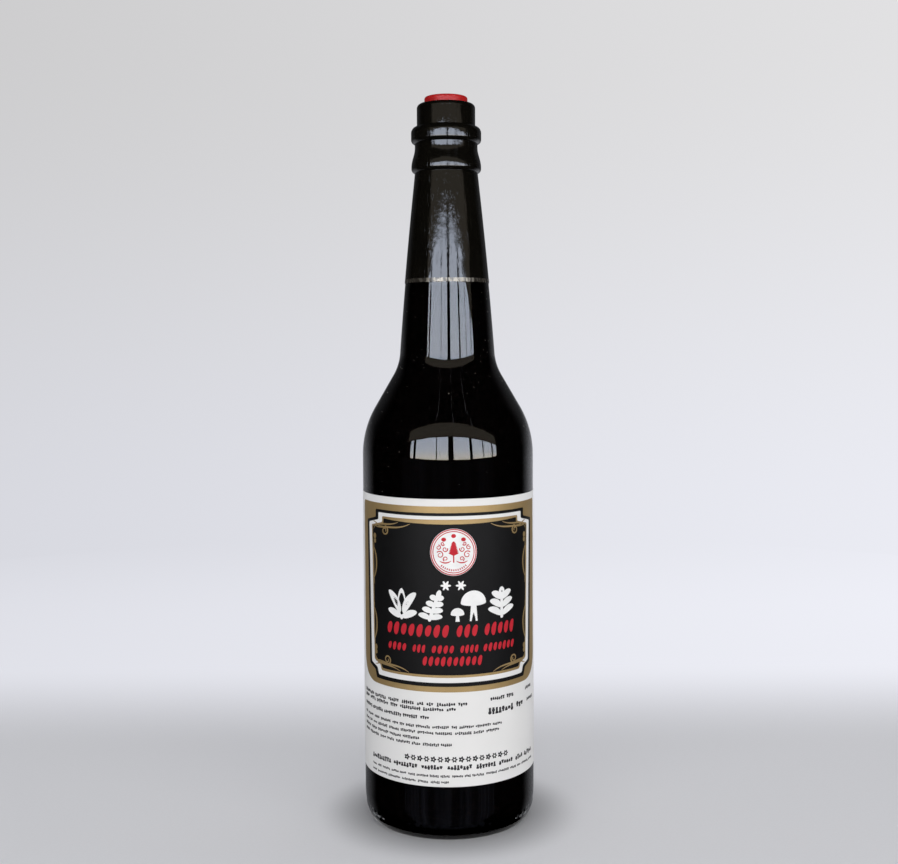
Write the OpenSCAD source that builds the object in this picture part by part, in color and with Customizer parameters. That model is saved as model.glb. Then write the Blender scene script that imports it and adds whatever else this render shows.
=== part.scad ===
// Tall round glass bottle of dark sauce, closed by a push-in stopper.
// A shrink film capsule covers the stopper and the upper neck, and a paper
// label is wrapped round the body. Millimetres, +Z up, standing on z = 0.

/* [Body] */
// Outer diameter of the body
body_d = 71; // [60:0.5:90]
// Height at which the straight body ends and the shoulder begins
body_h = 151.6; // [142:0.2:190]
// How far the heel draws in from the body to the foot
heel_in = 3.5; // [2:0.5:5]
// Height over which the heel draws in
heel_h = 12; // [6:1:18]
// Wall of the body, shoulder and neck
wall = 3; // [2:0.1:4]

/* [Base] */
// Width of the flat ring that the bottle stands on
foot_w = 5; // [3:0.5:8]
// Height of the hollow under the base
push_up_h = 4.5; // [2:0.5:7]
// Thickness of glass over the hollow, at the middle
floor_t = 5; // [4:0.5:9]
// Thickness of glass over the ring that the bottle stands on
foot_t = 4.5; // [3:0.5:7]
// Radius of the inside corner between floor and wall
floor_corner_r = 9; // [5:0.5:12]

/* [Shoulder] */
// Radius of the round turn out of the body
shoulder_r = 39.6; // [34:0.2:45]
// Steepest slope of the shoulder, measured from upright
shoulder_slope = 30.2; // [26:0.2:40]
// Radius of the hollow turn into the neck
neck_turn_r = 21.3; // [14:0.2:28]

/* [Neck] */
// Radius of the neck where the shoulder has run out
neck_root_r = 19.65; // [17:0.05:21.5]
// Radius of the neck just under the lower ring
neck_top_r = 12.7; // [10.5:0.05:15.5]
// Length of the tapered neck
neck_len = 74.4; // [55:0.2:90]
// How far the neck swells beyond a straight taper, halfway up
neck_bow = 0.34; // [0:0.02:0.8]
// Wall round the mouth's bore, at the waist between the rings
mouth_wall = 3.5; // [3:0.1:5]
// Depth of the mouth's straight bore
mouth_depth = 22; // [14:1:26]

/* [Rings at the mouth] */
// How far the lower ring stands out from the neck
ring_out = 1.45; // [0.8:0.05:2.4]
// Height of the lower ring's upright crest
ring_crest_h = 0.7; // [0.6:0.1:2.5]
// Height over which the lower ring tapers back above its crest
ring_taper_h = 8; // [5:0.2:11]
// Height of the waist's upright part
waist_h = 1.8; // [0.4:0.1:3]
// How far the lip's bead stands out from the waist
bead_out = 1.55; // [0.8:0.05:2.4]
// Height of the lip's bead
bead_h = 6.6; // [6:0.2:11]
// Rounding of the bead's upper edge
bead_round = 2.4; // [1.2:0.1:2.6]

/* [Stopper] */
// How far the collar stands in from the edge of the lip's flat top
collar_in = 0.05; // [0:0.05:0.8]
// Height of the collar
collar_h = 9; // [5:0.1:12]
// Rounding of the collar's upper edge
collar_round = 1.5; // [0.6:0.1:1.8]
// Width of the collar's flat top round the disc
rim_w = 1.4; // [0.7:0.1:2]
// Height of the disc above the collar
disc_h = 3.4; // [2:0.1:7]
// Rounding of the disc's upper edge
disc_round = 0.8; // [0.3:0.1:1.2]
// Length of the plug inside the mouth
plug_len = 14; // [8:1:14]
// Gap all round between the plug and the mouth's bore
plug_gap = 0.1; // [0.05:0.05:0.4]

/* [Capsule] */
// Thickness of the shrink film
film_t = 0.25; // [0.15:0.05:0.5]
// Height of the film's lower edge above the foot of the neck
film_edge_up = 28.8; // [15:0.2:45]
// Gap between the film's upper edge and the disc
film_gap = 0.5; // [0.2:0.1:0.6]

/* [Label] */
// Height of the label's lower edge
label_z = 22.5; // [20:0.5:32]
// Bare glass between the label's upper edge and the shoulder
label_down = 14.7; // [2:0.1:40]
// Thickness of the paper
label_t = 0.2; // [0.15:0.05:0.4]
// Width of the lap where the paper's ends meet at the back
label_lap = 9; // [5:0.5:15]

/* [Sauce] */
// Height of the sauce's surface above the foot of the neck
fill_up = 42; // [34:1:46]

/* [Hidden] */
$fn = 128;

body_r = body_d / 2;
eps = 0.01;          // a hair's breadth, so that joined shapes bite into each other
arc_steps = 20;      // straight pieces in a long arc
round_steps = 8;     // straight pieces in a small rounding

// Shoulder: a round turn, a straight slope and a hollow turn, all tangent.
neck_slope = atan((neck_root_r - neck_top_r - 4 * neck_bow) / neck_len);
turn_out_r = body_r - shoulder_r * (1 - cos(shoulder_slope));
turn_out_z = body_h + shoulder_r * sin(shoulder_slope);
hollow_x = neck_root_r + neck_turn_r * cos(neck_slope);
turn_in_r = hollow_x - neck_turn_r * cos(shoulder_slope);
slope_len = (turn_out_r - turn_in_r) / sin(shoulder_slope);
turn_in_z = turn_out_z + slope_len * cos(shoulder_slope);
hollow_z = turn_in_z + neck_turn_r * sin(shoulder_slope);
neck_z = hollow_z - neck_turn_r * sin(neck_slope);

// Rings: each stands on a quarter round as deep as the ring stands out.
ring_r = neck_top_r + ring_out;
ring_z = neck_z + neck_len;
ring_crest_z = ring_z + ring_out + ring_crest_h;
waist_z = ring_crest_z + ring_taper_h;
bead_r = neck_top_r + bead_out;
bead_z = waist_z + waist_h;
lip_z = bead_z + bead_h;

// What sits on the lip, fills the bottle or is wrapped round it.
mouth_r = neck_top_r - mouth_wall;
collar_r = bead_r - bead_round - collar_in;
collar_z = lip_z + collar_h;
collar_top_r = collar_r - collar_round;
disc_r = collar_top_r - rim_w;
fill_z = neck_z + fill_up;
label_h = body_h - label_z - label_down;
foot_r = body_r - heel_in;

// Points along an ellipse's arc about [x, z], from angle a to angle b.
function arc(x, z, rx, rz, a, b, n) =
    [for (i = [0:n]) let (t = a + (b - a) * i / n) [x + rx * cos(t), z + rz * sin(t)]];

// Radius of the neck at the share t of its length.
function neck_radius(t) =
    neck_root_r + (neck_top_r - neck_root_r) * t + 4 * neck_bow * t * (1 - t);
function neck_points(from, to, n) =
    [for (i = [0:n]) let (t = from + (to - from) * i / n) [neck_radius(t), neck_z + neck_len * t]];

heel_line = arc(foot_r, heel_h, heel_in, heel_h, -90, 0, round_steps);
shoulder_line = concat(
    arc(body_r - shoulder_r, body_h, shoulder_r, shoulder_r, 0, shoulder_slope, arc_steps),
    arc(hollow_x, hollow_z, neck_turn_r, neck_turn_r,
        180 + shoulder_slope, 180 + neck_slope, arc_steps));
film_share = film_edge_up / neck_len;
low_neck_line = neck_points(0, film_share, round_steps);
high_neck_line = neck_points(film_share, 1, arc_steps);

// Taper above the lower ring's crest: half a wave, upright at both ends.
taper_line = [for (i = [1:arc_steps]) let (t = i / arc_steps)
    [neck_top_r + ring_out * (1 + cos(180 * t)) / 2, ring_crest_z + ring_taper_h * t]];
ring_line = concat(
    arc(neck_top_r, ring_z + ring_out, ring_out, ring_out, -90, 0, round_steps),
    [[ring_r, ring_crest_z]],
    taper_line,
    arc(neck_top_r, bead_z + bead_out, bead_out, bead_out, -90, 0, round_steps),
    arc(bead_r - bead_round, lip_z - bead_round, bead_round, bead_round, 0, 90, round_steps));

collar_line = concat(
    [[collar_r, lip_z]],
    arc(collar_top_r, collar_z - collar_round,
        collar_round, collar_round, 0, 90, round_steps));

// A line moved sideways by d: each point goes along the mean normal of its
// two neighbours, to the left of the way the line runs if d is negative.
function last(line) = len(line) - 1;
function along(line, i) = let (d = line[min(i + 1, last(line))] - line[max(i - 1, 0)]) d / norm(d);
function beside(line, d) =
    [for (i = [0:last(line)]) let (t = along(line, i)) line[i] + d * [t[1], -t[0]]];

// A line without the points that repeat the one before them.
function distinct(line) =
    [for (i = [0:last(line)]) if (i == 0 || norm(line[i] - line[max(i - 1, 0)]) > eps / 10) line[i]];

outer_line = distinct(concat(heel_line, shoulder_line, low_neck_line, high_neck_line, ring_line));

// Inside of the glass: the floor swells over the hollow by half a wave, and
// the wall follows the outer line, set in, until the bore begins.
bore_z = lip_z - mouth_depth;
corner_x = body_r - wall - floor_corner_r;
swell = push_up_h + floor_t - foot_t;
floor_line = [for (i = [0:round_steps]) let (t = i / round_steps)
    [corner_x * t, foot_t + swell * (1 + cos(180 * t)) / 2]];
wall_line = beside(distinct(concat(shoulder_line, low_neck_line, high_neck_line)), -wall);
inner_line = distinct(concat(
    floor_line,
    arc(corner_x, foot_t + floor_corner_r, floor_corner_r, floor_corner_r, -90, 0, round_steps),
    [for (p = wall_line) if (p[1] < bore_z - wall) p],
    [[mouth_r, bore_z], [mouth_r, lip_z + 1], [0, lip_z + 1]]));

module turned(points) {
    rotate_extrude() polygon(points);
}

// Hollow under the base: a shallow dome inside the flat foot ring.
module base_hollow() {
    hollow_r = foot_r - foot_w;
    dome_r = (hollow_r * hollow_r + push_up_h * push_up_h) / (2 * push_up_h);
    intersection() {
        translate([0, 0, push_up_h - dome_r]) sphere(r = dome_r);
        translate([0, 0, -1]) cylinder(r = hollow_r, h = push_up_h + 1);
    }
}

module bottle() {
    color([0.80, 0.88, 0.86, 0.4]) difference() {
        turned(concat([[0, 0]], outer_line, [[0, lip_z]]));
        turned(inner_line);
        base_hollow();
    }
}

module soy_sauce() {
    color([0.09, 0.03, 0.015]) intersection() {
        turned(inner_line);
        cylinder(r = body_d, h = fill_z);
    }
}

module stopper() {
    plug_r = mouth_r - plug_gap;
    disc_z = collar_z + disc_h;
    color([0.72, 0.06, 0.10]) turned(concat(
        [[0, lip_z - plug_len], [plug_r, lip_z - plug_len], [plug_r, lip_z]],
        collar_line,
        [[disc_r, collar_z]],
        arc(disc_r - disc_round, disc_z - disc_round, disc_round, disc_round, 0, 90, round_steps),
        [[0, disc_z]]));
}

module capsule() {
    inside = distinct(concat(
        high_neck_line, ring_line, collar_line, [[disc_r + film_gap, collar_z]]));
    outside = beside(inside, film_t);
    color([0.07, 0.05, 0.045]) turned(concat(
        inside, [for (i = [last(outside):-1:0]) outside[i]]));
}

module label() {
    lap_angle = label_lap / body_r * 180 / PI;
    color([0.86, 0.85, 0.82]) translate([0, 0, label_z]) union() {
        rotate_extrude() translate([body_r, 0]) square([label_t, label_h]);
        rotate([0, 0, 90 - lap_angle / 2]) rotate_extrude(angle = lap_angle)
            translate([body_r + label_t - eps, 0]) square([label_t + eps, label_h]);
    }
}

bottle();
soy_sauce();
stopper();
capsule();
label();
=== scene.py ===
"""Looks of a tall round glass bottle of dark sauce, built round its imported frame.

The bottle is closed by a red stopper under a black shrink film, and a printed
paper label is wrapped round its body.
"""

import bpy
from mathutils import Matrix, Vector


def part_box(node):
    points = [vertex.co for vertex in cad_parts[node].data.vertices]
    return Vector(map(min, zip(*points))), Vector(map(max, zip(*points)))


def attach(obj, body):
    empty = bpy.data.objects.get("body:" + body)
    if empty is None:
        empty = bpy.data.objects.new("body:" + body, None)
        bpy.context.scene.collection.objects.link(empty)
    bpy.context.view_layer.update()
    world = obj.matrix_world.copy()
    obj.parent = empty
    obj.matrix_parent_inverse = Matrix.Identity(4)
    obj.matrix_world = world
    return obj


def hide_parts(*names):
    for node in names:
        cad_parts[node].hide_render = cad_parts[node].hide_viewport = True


bl_info = {
    "name": "Dark Sauce Bottle",
    "version": (1, 0, 0),
    "blender": (4, 5, 0),
    "location": "3D View > Sidebar > Sauce Bottle",
    "description": "Glass, sauce, stopper, film and printed label of a tall sauce bottle",
    "category": "Object",
}

import math

import bmesh
import bpy
import numpy as np
from mathutils import Euler

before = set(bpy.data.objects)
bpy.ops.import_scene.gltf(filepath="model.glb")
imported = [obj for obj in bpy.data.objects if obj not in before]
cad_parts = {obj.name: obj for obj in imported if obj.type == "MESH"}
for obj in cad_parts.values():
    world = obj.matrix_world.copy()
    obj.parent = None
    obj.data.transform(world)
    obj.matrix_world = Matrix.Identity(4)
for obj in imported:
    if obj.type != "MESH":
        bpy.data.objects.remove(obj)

MM = 0.001
BODY = "root"

bottle_low, bottle_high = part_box("bottle")
sauce_low, sauce_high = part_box("soy_sauce")
stopper_low, stopper_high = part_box("stopper")
capsule_low, capsule_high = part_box("capsule")
label_low, label_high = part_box("label")


# Properties ---------------------------------------------------------------

def length(name, description, millimetres):
    """A length property. Its default is given in millimetres and kept in metres."""
    return bpy.props.FloatProperty(
        name=name, description=description, default=millimetres * MM,
        unit="LENGTH", precision=5)


def slant(name, description, degrees):
    """An angle property. Its default is given in degrees and kept in radians."""
    return bpy.props.FloatProperty(
        name=name, description=description, default=math.radians(degrees), subtype="ANGLE")


def colour(name, description, red, green, blue):
    """A colour property in linear red, green and blue."""
    return bpy.props.FloatVectorProperty(
        name=name, description=description, default=(red, green, blue),
        subtype="COLOR", size=3, min=0, max=1)


class GlassSizes(bpy.types.PropertyGroup):
    """Sizes of the glass."""

    body_r: length("Body radius", "Outer radius of the body", bottle_high.x / MM)
    body_h: length("Body height", "Height at which the shoulder begins", 151.6)
    heel_in: length("Heel inset", "How far the heel draws in to the foot", 3.5)
    heel_h: length("Heel height", "Height over which the heel draws in", 12)
    wall: length("Wall", "Thickness of the glass", 3)
    foot_w: length("Foot width", "Width of the ring that the bottle stands on", 5)
    push_up_h: length("Push-up", "Height of the hollow under the base", 4.5)
    floor_t: length("Floor", "Glass over the middle of the hollow", 5)
    foot_t: length("Foot thickness", "Glass over the foot ring", 4.5)
    floor_corner_r: length("Floor corner", "Inside radius between floor and wall", 9)
    shoulder_r: length("Shoulder radius", "Radius of the turn out of the body", 39.6)
    shoulder_slope: slant("Shoulder slope", "Steepest slope of the shoulder, from upright", 30.2)
    neck_turn_r: length("Neck turn", "Radius of the hollow turn into the neck", 21.3)
    neck_root_r: length("Neck root", "Radius of the neck at its foot", 19.65)
    neck_top_r: length("Neck top", "Radius of the neck under the lower ring", 12.7)
    neck_len: length("Neck length", "Length of the tapered neck", 74.4)
    neck_bow: length("Neck bow", "Swell of the neck beyond a straight taper", 0.34)
    mouth_wall: length("Mouth wall", "Glass round the bore at the waist", 3.5)
    mouth_depth: length("Mouth depth", "Depth of the straight bore", 22)
    ring_out: length("Ring", "How far the lower ring stands out", 1.45)
    ring_crest_h: length("Ring crest", "Height of the lower ring's crest", 0.7)
    ring_taper_h: length("Ring taper", "Height over which the ring tapers back", 8)
    waist_h: length("Waist", "Height of the waist's upright part", 1.8)
    bead_out: length("Bead", "How far the lip's bead stands out", 1.55)
    bead_h: length("Bead height", "Height of the lip's bead", 6.6)
    bead_round: length("Bead rounding", "Rounding of the bead's upper edge", 2.4)
    dot_out: length("Heel dots", "How far the moulded dots on the heel stand out", 0.22)
    dot_z: length("Heel dots' place", "Height of the ring of dots above the floor", 5.4)
    dot_h: length("Heel dot height", "Height over which a dot fades out", 0.9)
    dot_count: bpy.props.IntProperty(
        name="Heel dot count", description="Number of moulded dots round the heel", default=64)
    seam_out: length("Mould seam", "How far the two mould seams stand out", 0.04)
    seam_w: length("Seam width", "Width over which a mould seam fades out", 0.5)


class ClosureSizes(bpy.types.PropertyGroup):
    """Sizes of the sauce's fill, the stopper and the film over it."""

    fill_bite: length("Sauce bite", "How far the sauce reaches into the wall", 0.1)
    collar_in: length("Collar inset", "Collar's step in from the lip's flat top", 0.05)
    film_lean: slant("Film lean", "How far the film's surface leans in on the collar", 4)
    collar_round: length("Collar rounding", "Rounding of the collar's upper edge", 1.5)
    rim_w: length("Rim width", "Width of the collar's flat top round the disc", 1.4)
    disc_round: length("Disc rounding", "Rounding of the disc's upper edge", 0.8)
    disc_dish: length("Disc dish", "Depth of the dish in the disc's top", 0.35)
    disc_dimple: length("Disc dimple", "Depth of the dimple in the dish's middle", 0.2)
    plug_chamfer: length("Plug chamfer", "Chamfer of the plug's lower edge", 0.6)
    touch: length("Touch", "Gap between the stopper's collar and the film", 0.02)
    plug_gap: length("Plug gap", "Gap between the plug and the bore", 0.1)
    film_t: length("Film thickness", "Thickness of the shrink film", 0.25)
    film_gap: length("Film gap", "Gap between the film and the disc", 0.5)
    crease: length("Creases", "Depth of the shrink creases", 0.05)
    crease_h: length("Crease height", "Height over which creases fade from a step", 3.5)
    stripe_h: length("Stripe height", "Height of the metal stripe at the film's edge", 1.6)
    stripe_out: length("Stripe thickness", "How far the stripe stands out of the film", 0.03)


class LabelSizes(bpy.types.PropertyGroup):
    """Sizes of the paper label and its print."""

    lap: length("Lap", "Width of the lap where the paper's ends meet", 9)
    lap_lift: length("Lap lift", "How far the upper end of the paper lies over the lower", 0.11)
    lap_ramp: length("Lap ramp", "Width over which the paper rises onto the lap", 2.5)
    paper_out: length("Paper surface", "Paper's surface outside the glass", 0.08)
    paper_t: length("Paper thickness", "Thickness of the visible paper", 0.07)
    ink_step: length("Ink step", "Height of one layer of print over the last", 0.025)
    ripple: length("Ripple", "Depth of the paper's gentle waves", 0.022)
    turn: length("Print offset", "How far the print's middle is turned to the right", 1.0)
    frame_w: length("Frame width", "Width of the gold frame", 95)
    frame_top: length("Frame top", "Gold frame's upper edge above the label's", 111.5)
    frame_bottom: length("Frame bottom", "Gold frame's lower edge above the label's", 37.9)
    line_top: length("Line top", "Black line's upper edge above the label's lower edge", 108.9)
    line_bottom: length("Line bottom", "Black line's lower edge above the label's", 40.1)
    emblem_x: length("Emblem place", "Middle of the emblem to the right of the print's", 1.1)
    emblem_y: length("Emblem height", "Middle of the emblem above the label's lower edge", 93.5)
    emblem_r: length("Emblem radius", "Radius of the white disc", 9.3)


class Colours(bpy.types.PropertyGroup):
    """Colours of the finishes."""

    glass: colour("Glass", "Tint of the clear glass", 0.93, 0.96, 0.95)
    sauce: colour("Sauce", "Dark sauce in the bottle", 0.0012, 0.0008, 0.0007)
    stopper: colour("Stopper", "Red plastic", 0.42, 0.006, 0.006)
    film: colour("Film", "Brownish black shrink film", 0.0032, 0.0028, 0.0021)
    stripe: colour("Stripe", "Pale metal stripe", 0.15, 0.135, 0.11)
    paper: colour("Paper", "Coated paper", 0.76, 0.755, 0.745)
    gold: colour("Gold ink", "Gold print", 0.31, 0.212, 0.087)
    black: colour("Black ink", "Black print", 0.006, 0.0059, 0.0062)
    white: colour("White ink", "White print", 0.82, 0.82, 0.815)
    red: colour("Red ink", "Red print", 0.50, 0.018, 0.03)
    grey: colour("Small print", "Dark grey ink of the small print", 0.035, 0.034, 0.037)


class SauceBottle(bpy.types.PropertyGroup):
    """All sizes and colours of the bottle."""

    glass: bpy.props.PointerProperty(type=GlassSizes)
    closure: bpy.props.PointerProperty(type=ClosureSizes)
    label: bpy.props.PointerProperty(type=LabelSizes)
    colours: bpy.props.PointerProperty(type=Colours)


# Shader maths -------------------------------------------------------------

class Wire:
    """A socket of a node tree. Arithmetic on wires and numbers adds Math nodes."""

    def __init__(self, tree, socket=None):
        self.tree = tree
        self.socket = socket

    def node(self, kind, settings=None, inputs=None, output=0):
        """Adds a node, sets its settings, then its sockets' values or links."""
        made = self.tree.nodes.new(kind)
        for name, value in (settings or {}).items():
            if name == "stops":
                set_stops(made.color_ramp, value)
            else:
                setattr(made, name, value)
        for name, value in (inputs or {}).items():
            if isinstance(value, Wire):
                self.tree.links.new(value.socket, made.inputs[name])
            else:
                made.inputs[name].default_value = value
        return Wire(self.tree, made.outputs[output] if len(made.outputs) else None)

    def math(self, operation, *values):
        """One of the Math node's operations on the values."""
        return self.node("ShaderNodeMath", {"operation": operation}, dict(enumerate(values)))

    def __add__(self, other):
        return self.math("ADD", self, other)

    __radd__ = __add__

    def __mul__(self, other):
        return self.math("MULTIPLY", self, other)

    __rmul__ = __mul__

    def __sub__(self, other):
        return self.math("SUBTRACT", self, other)

    def __rsub__(self, other):
        return self.math("SUBTRACT", other, self)

    def __truediv__(self, other):
        return self.math("DIVIDE", self, other)

    def root(self):
        """The square root."""
        return self.math("SQRT", self)

    def kept(self, low, high):
        """This, kept between low and high."""
        return self.math("MINIMUM", self.math("MAXIMUM", self, low), high)

    def step(self, low, high):
        """0 below low, 1 above high and smooth between."""
        return self.node(
            "ShaderNodeMapRange", {"interpolation_type": "SMOOTHSTEP"},
            {"Value": self, "From Min": low, "From Max": high})

    def noise(self, scale, detail=2.0, rough=0.5):
        """Smooth noise from 0 to 1 on this place, with `scale` cells to the metre."""
        return self.node(
            "ShaderNodeTexNoise", None,
            {"Vector": self, "Scale": scale, "Detail": detail, "Roughness": rough})

    def stretched(self, x, y, z):
        """This place, with each axis scaled."""
        return self.node("ShaderNodeMapping", None, {"Vector": self, "Scale": (x, y, z)})

    def axis(self, name):
        """One of this place's coordinates."""
        return self.node("ShaderNodeSeparateXYZ", None, {0: self}, name)

    def mix(self, first, second):
        """The first colour where this is 0 and the second where it is 1."""
        return self.node(
            "ShaderNodeMix", {"data_type": "RGBA"},
            {"Factor": self, 6: rgba(first), 7: rgba(second)}, 2)

    def tints(self, tone, dark, light):
        """A colour, from this many times itself where this is 0 up to so many where it is 1."""
        return self.mix(shade(tone, dark), shade(tone, light))

    def relief(self, depth, strength=1.0):
        """The surface's normal, tilted by this height times `depth` metres."""
        return self.node(
            "ShaderNodeBump", None,
            {"Height": self, "Distance": depth, "Strength": strength}, "Normal")


def rgba(value):
    """A colour as four numbers, or the wire it already is."""
    return value if isinstance(value, Wire) else (*value[:3], 1.0)


def set_stops(ramp, stops):
    """Puts the stops (place, colour) on a colour ramp."""
    while len(ramp.elements) < len(stops):
        ramp.elements.new(1.0)
    for element, (place, value) in zip(ramp.elements, stops):
        element.position = place
        element.color = rgba(value)


def shade(value, factor):
    """A colour made lighter or darker by a factor."""
    return tuple(min(1.0, part * factor) for part in value[:3])


def material(name, look):
    """A material with the shader that `look` makes from a bare wire and the place."""
    made = bpy.data.materials.new(name)
    made.use_nodes = True
    made.node_tree.nodes.clear()
    start = Wire(made.node_tree)
    shader = look(start, start.node("ShaderNodeTexCoord", output="Object"))
    start.node("ShaderNodeOutputMaterial", None, {"Surface": shader})
    return made


def finish(piece, name, fixed, vary):
    """Gives a piece a Principled finish. `vary` takes the place on the piece and
    returns the inputs that change over the surface, and `fixed` holds the others."""
    def look(start, place):
        return start.node("ShaderNodeBsdfPrincipled", None, {**fixed, **vary(place)})

    piece.data.materials.clear()
    piece.data.materials.append(material(name, look))


# Meshes -------------------------------------------------------------------

def grid_faces(rows, columns, loop_rows=False, loop_columns=True):
    """Corner numbers of the quads of a grid of points, row by row."""
    row = np.arange(rows if loop_rows else rows - 1)[:, None]
    column = np.arange(columns if loop_columns else columns - 1)[None, :]
    row_up = (row + 1) % rows * columns
    column_on = (column + 1) % columns
    row = row * columns
    corners = [row + column, row + column_on, row_up + column_on, row_up + column]
    return np.stack(corners, -1).reshape(-1, 4)


def joined(parts):
    """(points, faces) parts as one, with each part's corner numbers moved on."""
    sizes = [points.size // 3 for points, _ in parts]
    starts = np.cumsum([0, *sizes[:-1]])
    points = np.concatenate([points.reshape(-1, 3) for points, _ in parts])
    return points, np.concatenate([faces + start for (_, faces), start in zip(parts, starts)])


def add_piece(name, parts, replaces=(), outward=True, sharp=35):
    """Makes one object of (points, faces) parts, welds it and lets it ride on the body."""
    points, faces = joined(parts)
    mesh = bpy.data.meshes.new(name)
    mesh.from_pydata(points.tolist(), [], faces.tolist())
    work = bmesh.new()
    work.from_mesh(mesh)
    bmesh.ops.remove_doubles(work, verts=work.verts, dist=2e-7)
    if not outward:
        bmesh.ops.recalc_face_normals(work, faces=work.faces)
    work.to_mesh(mesh)
    work.free()
    mesh.polygons.foreach_set("use_smooth", np.ones(len(mesh.polygons), bool))
    mesh.set_sharp_from_angle(angle=math.radians(sharp))
    mesh.validate()
    piece = bpy.data.objects.new(name, mesh)
    bpy.context.scene.collection.objects.link(piece)
    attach(piece, BODY)
    for node in replaces:
        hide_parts(node)
    return piece


def turned(line, columns, shift=None, loop=False):
    """A section line [radius, height] carried round the axis: the point at angle a is
    (r sin a, -r cos a, z), so a = 0 is the front. `shift` adds to r a value that
    depends on a and z. Points on the axis are repeated round it; add_piece welds them into poles."""
    angle = np.linspace(0, 2 * np.pi, columns, endpoint=False)[None, :]
    radius, height = line[:, :1], line[:, 1:]
    if shift is not None:
        radius = radius + shift(angle, height) * (radius > 0)
    points = np.stack(
        [radius * np.sin(angle), -radius * np.cos(angle), height + 0 * angle], -1)
    return points, grid_faces(len(line), columns, loop_rows=loop)


def arc(x, z, rx, rz, start, end, steps):
    """Points (x + rx cos t, z + rz sin t) for even steps of t, in degrees."""
    t = np.radians(np.linspace(start, end, steps + 1))
    return np.column_stack([x + rx * np.cos(t), z + rz * np.sin(t)])


def straight(start, end, steps):
    """Even steps from one point to another."""
    return np.linspace(start, end, steps + 1)


def chain(*lines):
    """Lines joined end to end, without the points that repeat the one before."""
    line = np.concatenate([np.atleast_2d(one) for one in lines])
    gap = np.linalg.norm(np.diff(line, axis=0), axis=1)
    return line[np.concatenate([[True], gap > 1e-6])]


def beside(line, distance):
    """A line moved sideways: each point goes along the mean normal of its two sides."""
    along = np.gradient(line, axis=0)
    along /= np.linalg.norm(along, axis=1)[:, None]
    return line + distance * np.column_stack([along[:, 1], -along[:, 0]])


# Bottle's lines -----------------------------------------------------------

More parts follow.
